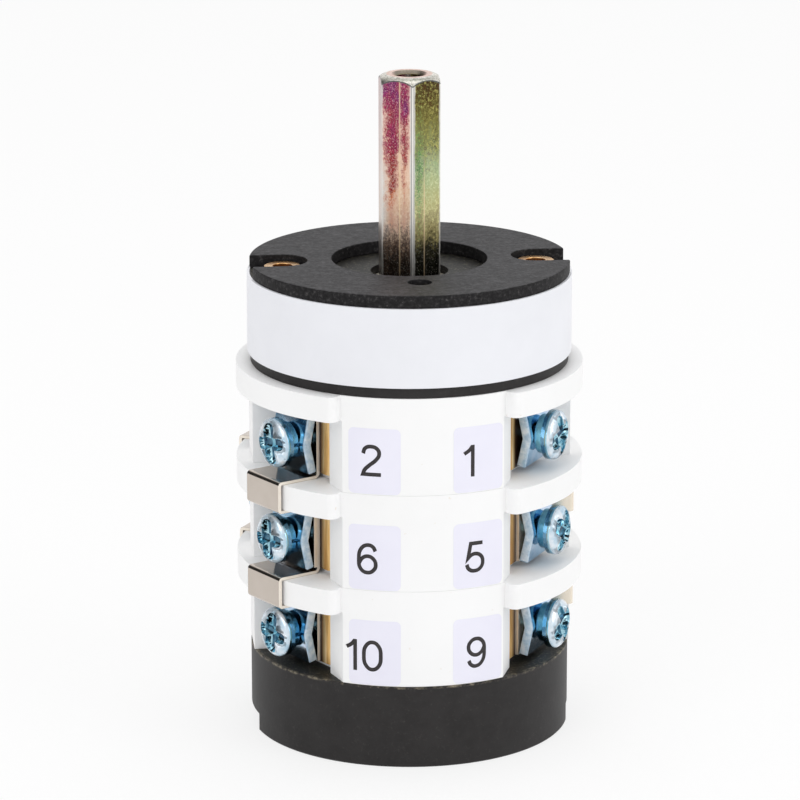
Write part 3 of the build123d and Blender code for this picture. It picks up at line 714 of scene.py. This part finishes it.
screw = {
    "headRadius": 4.25 * mm,
    "rimHeight": 1.1 * mm,
    "headHeight": 2.4 * mm,
    "crownRadius": 1.0 * mm,
    "shankRadius": 2.0 * mm,
    "length": 8.5 * mm,
    "domeSteps": 6,
    "armLength": 7.2 * mm,
    "armWidths": (2.1 * mm, 3.0 * mm),
    "armDepth": 1.4 * mm,
    "armRounding": 0.4,
    "pointRadii": (0.7 * mm, 2.3 * mm),
    "pointDepth": 1.9 * mm,
    "pointRaise": 0.1 * mm,
    "edge": 0.09 * mm,
    "rimShare": 0.93,
    "recessStart": 0.1 * mm,
}
terminal = {
    "stripFace": 22.1 * mm,
    "tab": 0.6 * mm,
    "clampRise": 2.7 * mm,
    "washer": 1.5 * mm,
    "screwHeight": 6.1 * mm,
    "azimuths": (60, -60, 120, 240),
    "lowestFloor": 14.4 * mm,
    "pitch": 16.8 * mm,
}
# link tabs under each clamp, and how far each recess is turned, by terminal number
tabCounts = {2: 1, 6: 2, 10: 1, 4: 1, 8: 2, 12: 1, 5: 1, 7: 1, 9: 1, 11: 1}
armTurns = [14, 98, 75, 35, 150, 95, 15, 140, 24, 84, 55, 100]


def floorOf(number):
    # the floor of the stage that the terminal is on; 1 to 4 are on the top one
    stagesBelow = 2 - (number - 1) // 4
    return terminal["lowestFloor"] + stagesBelow * terminal["pitch"]


def selectCap(piece, height):
    # selects only the flat face at that height
    bpy.ops.object.mode_set(mode="OBJECT")
    for polygon in piece.data.polygons:
        flat = abs(polygon.normal.z) > 0.99 and abs(polygon.center.z - height) < 0.01 * mm
        polygon.select = flat and polygon.center.xy.length < 0.5 * mm
    bpy.ops.object.mode_set(mode="EDIT")
    bpy.ops.mesh.select_mode(type="FACE")


def screwBlank():
    # pan head turned up from a disc, then a shank below it
    bpy.ops.mesh.primitive_cylinder_add(vertices=48, radius=screw["headRadius"], depth=screw["rimHeight"],
                                        location=(0, 0, screw["rimHeight"] / 2))
    blank = nameNew("screwBlank")
    bpy.ops.object.transform_apply(location=True, rotation=False, scale=False)
    bpy.ops.object.mode_set(mode="EDIT")
    bpy.ops.mesh.select_mode(type="FACE")
    radius = screw["headRadius"]
    height = screw["rimHeight"]
    for step in range(1, screw["domeSteps"] + 1):
        turn = math.radians(90 * step / screw["domeSteps"])
        newRadius = screw["crownRadius"] + (screw["headRadius"] - screw["crownRadius"]) * math.cos(turn)
        newHeight = screw["rimHeight"] + (screw["headHeight"] - screw["rimHeight"]) * math.sin(turn)
        selectCap(blank, height)
        bpy.ops.mesh.extrude_region_move(TRANSFORM_OT_translate={"value": (0, 0, newHeight - height)})
        share = newRadius / radius
        bpy.ops.transform.resize(value=(share, share, 1))
        radius, height = newRadius, newHeight
    selectCap(blank, 0)
    bpy.ops.mesh.inset(thickness=screw["headRadius"] - screw["shankRadius"])
    bpy.ops.mesh.extrude_region_move(TRANSFORM_OT_translate={"value": (0, 0, -screw["length"])})
    bpy.ops.object.mode_set(mode="OBJECT")
    return blank


def recessCutters():
    # two crossing arms that end short of the rim, and a square point sunk in the middle
    top = screw["headHeight"]
    cutters = []
    for turn, width in zip((0, 90), screw["armWidths"]):
        bpy.ops.mesh.primitive_cube_add(size=1, location=(0, 0, top), rotation=(0, 0, math.radians(turn)))
        arm = nameNew(f"armCutter{turn}")
        arm.scale = (screw["armLength"], width, screw["armDepth"] * 2)
        bpy.ops.object.transform_apply(location=True, rotation=True, scale=True)
        applyModifier(arm, "BEVEL", width=screw["armRounding"] * width, segments=3, limit_method="ANGLE")
        cutters.append(arm)
    low, high = screw["pointRadii"]
    bpy.ops.mesh.primitive_cone_add(vertices=4, radius1=low, radius2=high, depth=screw["pointDepth"],
                                    location=(0, 0, top - screw["pointDepth"] / 2 + screw["pointRaise"]),
                                    rotation=(0, 0, math.radians(45)))
    cutters.append(nameNew("pointCutter"))
    bpy.ops.object.transform_apply(location=True, rotation=True, scale=False)
    return cutters


def domeHeight(radius):
    spread = max(0.0, (radius - screw["crownRadius"]) / (screw["headRadius"] - screw["crownRadius"]))
    rise = math.sqrt(max(0.0, 1 - spread ** 2))
    return screw["rimHeight"] + (screw["headHeight"] - screw["rimHeight"]) * rise


def paintScrew(piece):
    # one plating painted in four shades: the dome lighter as painted light, the rim and the recess walls
    # darker as painted shade, and the recess floors darkest as painted shade
    piece.data.materials.clear()
    for name in ("screwDome", "screwRim", "screwRecess", "screwPocket"):
        piece.data.materials.append(finishesAndPaintedLight[name])
    for polygon in piece.data.polygons:
        radius, height = polygon.center.xy.length, polygon.center.z
        onRim = height < screw["rimHeight"] and radius > screw["rimShare"] * screw["headRadius"]
        inRecess = domeHeight(radius) - height > screw["recessStart"]
        if height <= 0 or onRim:
            polygon.material_index = 1
        elif inRecess and polygon.normal.z > 0.75:
            polygon.material_index = 3
        elif inRecess:
            polygon.material_index = 2


def makeScrews():
    master = screwBlank()
    for cutter in recessCutters():
        applyModifier(master, "BOOLEAN", operation="DIFFERENCE", solver="EXACT", object=cutter)
        pickOnly(cutter)
        bpy.ops.object.delete()
    roundEdges(master, screw["edge"], sharp=35)
    paintScrew(master)
    copies = []
    for number in range(1, 13):
        azimuth = terminal["azimuths"][(number - 1) % 4]
        reach = terminal["stripFace"] + terminal["tab"] * tabCounts.get(number, 0)
        reach += terminal["clampRise"] + terminal["washer"]
        mesh = master.data.copy()
        mesh.transform(Matrix.Rotation(math.radians(armTurns[number - 1]), 4, "Z"))
        mesh.transform(Matrix.Rotation(math.radians(90), 4, "Y"))
        mesh.transform(Matrix.Translation((reach, 0, floorOf(number) + terminal["screwHeight"])))
        mesh.transform(Matrix.Rotation(math.radians(azimuth - 90), 4, "Z"))
        piece = bpy.data.objects.new(f"screw_{number}", mesh)
        bpy.context.scene.collection.objects.link(piece)
        copies.append(piece)
    pickOnly(master)
    bpy.ops.object.delete()
    return copies


screws = makeScrews()
for piece in screws:
    standIn(piece, bodyOfNode("terminal_screws"), "blue_zinc", "terminal_screws")
print("terminal screws made:", len(screws))


# Number stickers on the front blocks

sticker = {
    "blockRadius": 27.5 * mm,
    "thickness": 0.03 * mm,
    "low": 0.15 * mm,
    "high": 11.55 * mm,
    "corner": 0.9 * mm,
    "cutStep": 0.6 * mm,
    "leftAzimuths": (-27.3, -8.6),
    "rightAzimuths": (10.0, 29.0),
}
numbers = {
    "digitHeight": 5.5 * mm,
    "stroke": 0.12,
    "gap": 0.16,
    "proud": 0.02 * mm,
    "clearance": 0.004 * mm,
    "curveSteps": 10,
}
# the middle of each number: azimuth in degrees, height in millimetres
numberPlaces = {
    2: (-19.2, 54.0),
    1: (15.6, 53.6),
    6: (-20.5, 36.8),
    5: (18.0, 36.7),
    10: (-21.8, 19.7),
    9: (18.75, 19.8),
}
# pen strokes through these points, in shares of the digit's height; a point marked sharp is a corner
zero = [(0.33, 0.94), (0.52, 0.83), (0.595, 0.5), (0.52, 0.17), (0.33, 0.06), (0.14, 0.17), (0.062, 0.5),
        (0.14, 0.83), "closed"]
two = [(0.085, 0.715), (0.15, 0.88), (0.335, 0.94), (0.525, 0.87), (0.585, 0.71), (0.49, 0.53), (0.27, 0.34),
       (0.125, 0.19), (0.075, 0.06, "sharp"), (0.64, 0.06)]
five = [(0.585, 0.94), (0.19, 0.94, "sharp"), (0.105, 0.48, "sharp"), (0.19, 0.56), (0.34, 0.605),
        (0.525, 0.525), (0.595, 0.335), (0.52, 0.14), (0.32, 0.06), (0.13, 0.13), (0.06, 0.28)]
six = [(0.585, 0.75), (0.51, 0.885), (0.345, 0.94), (0.15, 0.83), (0.062, 0.47), (0.13, 0.16), (0.335, 0.06),
       (0.53, 0.15), (0.595, 0.325), (0.52, 0.505), (0.345, 0.585), (0.17, 0.51), (0.075, 0.36)]
digits = {
    "0": [zero],
    "1": [[(0.3, 0.0), (0.3, 1.0)], [(0.29, 0.965), (0.18, 0.835), (0.02, 0.735)]],
    "2": [two],
    "5": [five],
    "6": [six],
    "9": [[(0.657 - x, 1 - y) for x, y in six]],
}


def wrapRoundBlock(piece, azimuth, height):
    # bends a flat piece, drawn in XZ with -Y outwards, round the block's face
    radius = sticker["blockRadius"]
    for vertex in piece.data.vertices:
        angle = math.radians(azimuth) + vertex.co.x / radius
        reach = radius - vertex.co.y
        vertex.co = Vector((reach * math.sin(angle), -reach * math.cos(angle), height + vertex.co.z))
    piece.data.update()


def cutUpright(piece):
    # upright cuts, so that the sticker can bend
    pickOnly(piece)
    low = min(vertex.co.x for vertex in piece.data.vertices)
    high = max(vertex.co.x for vertex in piece.data.vertices)
    cuts = int((high - low) / sticker["cutStep"])
    bpy.ops.object.mode_set(mode="EDIT")
    for cut in range(1, cuts + 1):
        bpy.ops.mesh.select_all(action="SELECT")
        x = low + (high - low) * cut / (cuts + 1)
        bpy.ops.mesh.bisect(plane_co=(x, 0, 0), plane_no=(1, 0, 0))
    bpy.ops.object.mode_set(mode="OBJECT")


def makeSticker(number, azimuths):
    width = math.radians(azimuths[1] - azimuths[0]) * sticker["blockRadius"]
    height = sticker["high"] - sticker["low"]
    bpy.ops.mesh.primitive_cube_add(size=1, location=(0, -sticker["thickness"] / 2, 0))
    piece = nameNew(f"sticker_{number}")
    piece.scale = (width, sticker["thickness"], height)
    bpy.ops.object.transform_apply(location=True, rotation=False, scale=True)
    bpy.ops.object.mode_set(mode="EDIT")
    bpy.ops.mesh.select_mode(type="EDGE")
    bpy.ops.mesh.select_all(action="DESELECT")
    bpy.ops.object.mode_set(mode="OBJECT")
    for edge in piece.data.edges:
        a, b = (piece.data.vertices[i].co for i in edge.vertices)
        edge.select = abs(a.y - b.y) > 0.5 * sticker["thickness"]
    bpy.ops.object.mode_set(mode="EDIT")
    bpy.ops.mesh.bevel(offset=sticker["corner"], segments=4, affect="EDGES")
    bpy.ops.object.mode_set(mode="OBJECT")
    cutUpright(piece)
    middle = floorOf(number) + (sticker["low"] + sticker["high"]) / 2
    wrapRoundBlock(piece, (azimuths[0] + azimuths[1]) / 2, middle)
    pickOnly(piece)
    bpy.ops.object.shade_smooth_by_angle(angle=math.radians(30))
    paint(piece, finishesAndPaintedLight["sticker"])
    return piece


def penStroke(points):
    # one stroke drawn flat, X to the right and Y up
    closed = points[-1] == "closed"
    knots = [point for point in points if point != "closed"]
    bpy.ops.curve.primitive_bezier_curve_add()
    stroke = bpy.context.object
    curve = stroke.data
    curve.dimensions = "2D"
    curve.fill_mode = "NONE"
    spline = curve.splines[0]
    spline.bezier_points.add(len(knots) - 2)
    spline.use_cyclic_u = closed
    size = numbers["digitHeight"]
    for knot, point in zip(spline.bezier_points, knots):
        kind = "VECTOR" if len(point) == 3 or len(knots) == 2 else "AUTO"
        knot.co = (point[0] * size, point[1] * size, 0)
        knot.handle_left_type = kind
        knot.handle_right_type = kind
    curve.resolution_u = numbers["curveSteps"]
    curve.bevel_depth = numbers["stroke"] * size / 2
    curve.bevel_resolution = 0
    curve.use_fill_caps = True
    bpy.ops.object.convert(target="MESH")
    return bpy.context.object


def makeNumber(number, azimuth, height):
    strokes = []
    offset = 0
    for digit in str(number):
        for points in digits[digit]:
            stroke = penStroke(points)
            stroke.data.transform(Matrix.Translation((offset, 0, 0)))
            strokes.append(stroke)
        rightEnd = max(v.co.x for stroke in strokes for v in stroke.data.vertices)
        offset = rightEnd + numbers["gap"] * numbers["digitHeight"]
    deselectAll()
    for stroke in strokes:
        stroke.select_set(True)
    bpy.context.view_layer.objects.active = strokes[0]
    if len(strokes) > 1:
        bpy.ops.object.join()
    piece = nameNew(f"number_{number}")
    lows = [min(v.co[i] for v in piece.data.vertices) for i in range(3)]
    highs = [max(v.co[i] for v in piece.data.vertices) for i in range(3)]
    middle = [(lows[i] + highs[i]) / 2 for i in range(3)]
    flat = numbers["proud"] / (highs[2] - lows[2])
    piece.data.transform(Matrix.Translation((-middle[0], -middle[1], -middle[2])))
    piece.data.transform(Matrix.Diagonal((1, 1, flat, 1)))
    piece.data.transform(Matrix.Rotation(math.radians(90), 4, "X"))
    outwards = sticker["thickness"] + numbers["proud"] / 2 + numbers["clearance"]
    piece.data.transform(Matrix.Translation((0, -outwards, 0)))
    wrapRoundBlock(piece, azimuth, height)
    paint(piece, finishesAndPaintedLight["ink"])
    return piece


for number, (azimuth, height) in numberPlaces.items():
    azimuths = sticker["leftAzimuths"] if azimuth < 0 else sticker["rightAzimuths"]
    standIn(makeSticker(number, azimuths), "housing", "label_film")
    standIn(makeNumber(number, azimuth, height * mm), "housing", "black_plastic")
print("number stickers made:", len(numberPlaces))


# Floor, light and camera

studio = {
    "fill": 0.79,
    "darkSide": (-0.87, 0.42, 0.2),
    "darkEdge": 0.7,
    "darkCore": 0.87,
    "darkLevel": 0.03,
    "floorSize": 6,
    "floorGlow": 0.75,
}
softboxes = {
    "keySoftbox": {"place": (-0.7, -0.8, 0.9), "target": (0, 0, 0.05), "size": (0.7, 0.7), "power": 2.7},
    "fillSoftbox": {"place": (0.9, -0.6, 0.5), "target": (0, 0, 0.05), "size": (0.6, 0.8), "power": 2.4},
    "topSoftbox": {"place": (0.1, 0.3, 1.1), "target": (0, 0, 0.08), "size": (0.8, 0.6), "power": 1.8},
}
# 200 mm lens on a 36 mm frame, as fitted to the photograph
view = {
    "lens": 200,
    "frame": 36,
    "distance": 765.8 * mm,
    "aimHeight": 60.3 * mm,
    "elevation": math.radians(15.13),
    "pitch": math.radians(14.53),
    "azimuth": math.radians(5.6),
    "shift": (-0.0117, -0.0804),
}


def seenShare(tree, path):
    # 1 for what the camera sees, straight, mirrored or through glass, and 0 for light that only falls
    seen = mathOf(tree, "MAXIMUM", path.outputs["Is Camera Ray"], path.outputs["Is Glossy Ray"])
    return mathOf(tree, "MAXIMUM", seen, path.outputs["Is Transmission Ray"])


def mixShaders(tree, share, first, second, outputName):
    mix = addNode(tree, "ShaderNodeMixShader", Fac=share)
    tree.links.new(first.outputs[0], mix.inputs[1])
    tree.links.new(second.outputs[0], mix.inputs[2])
    tree.links.new(mix.outputs[0], tree.nodes[outputName].inputs["Surface"])


def makeFloor():
    bpy.ops.mesh.primitive_plane_add(size=studio["floorSize"], location=(0, 0, 0))
    floor = nameNew("studioFloor")
    material, tree, shader = newMaterial("paleFloor", Base_Color=rgb(246, 246, 246), Roughness=0.9,
                                         Specular_IOR_Level=0.1)
    glow = addNode(tree, "ShaderNodeEmission", Color=(1, 1, 1, 1), Strength=1.0)
    path = addNode(tree, "ShaderNodeLightPath")
    share = mathOf(tree, "MULTIPLY", seenShare(tree, path), studio["floorGlow"])
    mixShaders(tree, share, shader, glow, "Material Output")
    paint(floor, material)


def makeWorld():
    # white, but polished metal also sees one dark side of the studio, at the back left
    world = bpy.data.worlds.new("studio")
    bpy.context.scene.world = world
    world.use_nodes = True
    tree = world.node_tree
    plain = tree.nodes["Background"]
    plain.inputs["Color"].default_value = (1, 1, 1, 1)
    plain.inputs["Strength"].default_value = studio["fill"]
    way = tree.nodes.new("ShaderNodeVectorMath")
    way.operation = "DOT_PRODUCT"
    tree.links.new(addNode(tree, "ShaderNodeTexCoord").outputs["Generated"], way.inputs[0])
    way.inputs[1].default_value = Vector(studio["darkSide"]).normalized()
    shade = rangeOf(tree, way.outputs["Value"], studio["darkEdge"], studio["darkCore"],
                    1.0, studio["darkLevel"])
    path = addNode(tree, "ShaderNodeLightPath")
    shade = rangeOf(tree, path.outputs["Is Glossy Ray"], 0, 1, 1.0, shade)
    white = addNode(tree, "ShaderNodeBackground", Color=(1, 1, 1, 1), Strength=shade)
    mixShaders(tree, seenShare(tree, path), plain, white, "World Output")


def addSoftbox(name, place, target, size, power):
    bpy.ops.object.light_add(type="AREA", location=place)
    lamp = bpy.context.object
    lamp.name = name
    lamp.data.shape = "RECTANGLE"
    lamp.data.size, lamp.data.size_y = size
    lamp.data.energy = power
    lamp.rotation_euler = (Vector(target) - Vector(place)).to_track_quat("-Z", "Y").to_euler()


def makeCamera():
    level = view["distance"] * math.cos(view["elevation"])
    place = (
        -level * math.sin(view["azimuth"]),
        -level * math.cos(view["azimuth"]),
        view["aimHeight"] + view["distance"] * math.sin(view["elevation"]),
    )
    turn = (math.radians(90) - view["pitch"], 0, -view["azimuth"])
    bpy.ops.object.camera_add(location=place, rotation=turn)
    camera = bpy.context.object
    camera.data.lens = view["lens"]
    camera.data.sensor_width = view["frame"]
    camera.data.shift_x, camera.data.shift_y = view["shift"]
    camera.data.clip_start = 0.01
    bpy.context.scene.camera = camera


makeFloor()
makeWorld()
for name, softbox in softboxes.items():
    addSoftbox(name, **softbox)
makeCamera()
bpy.context.scene.view_settings.view_transform = "Standard"
print("floor, lights and camera set")
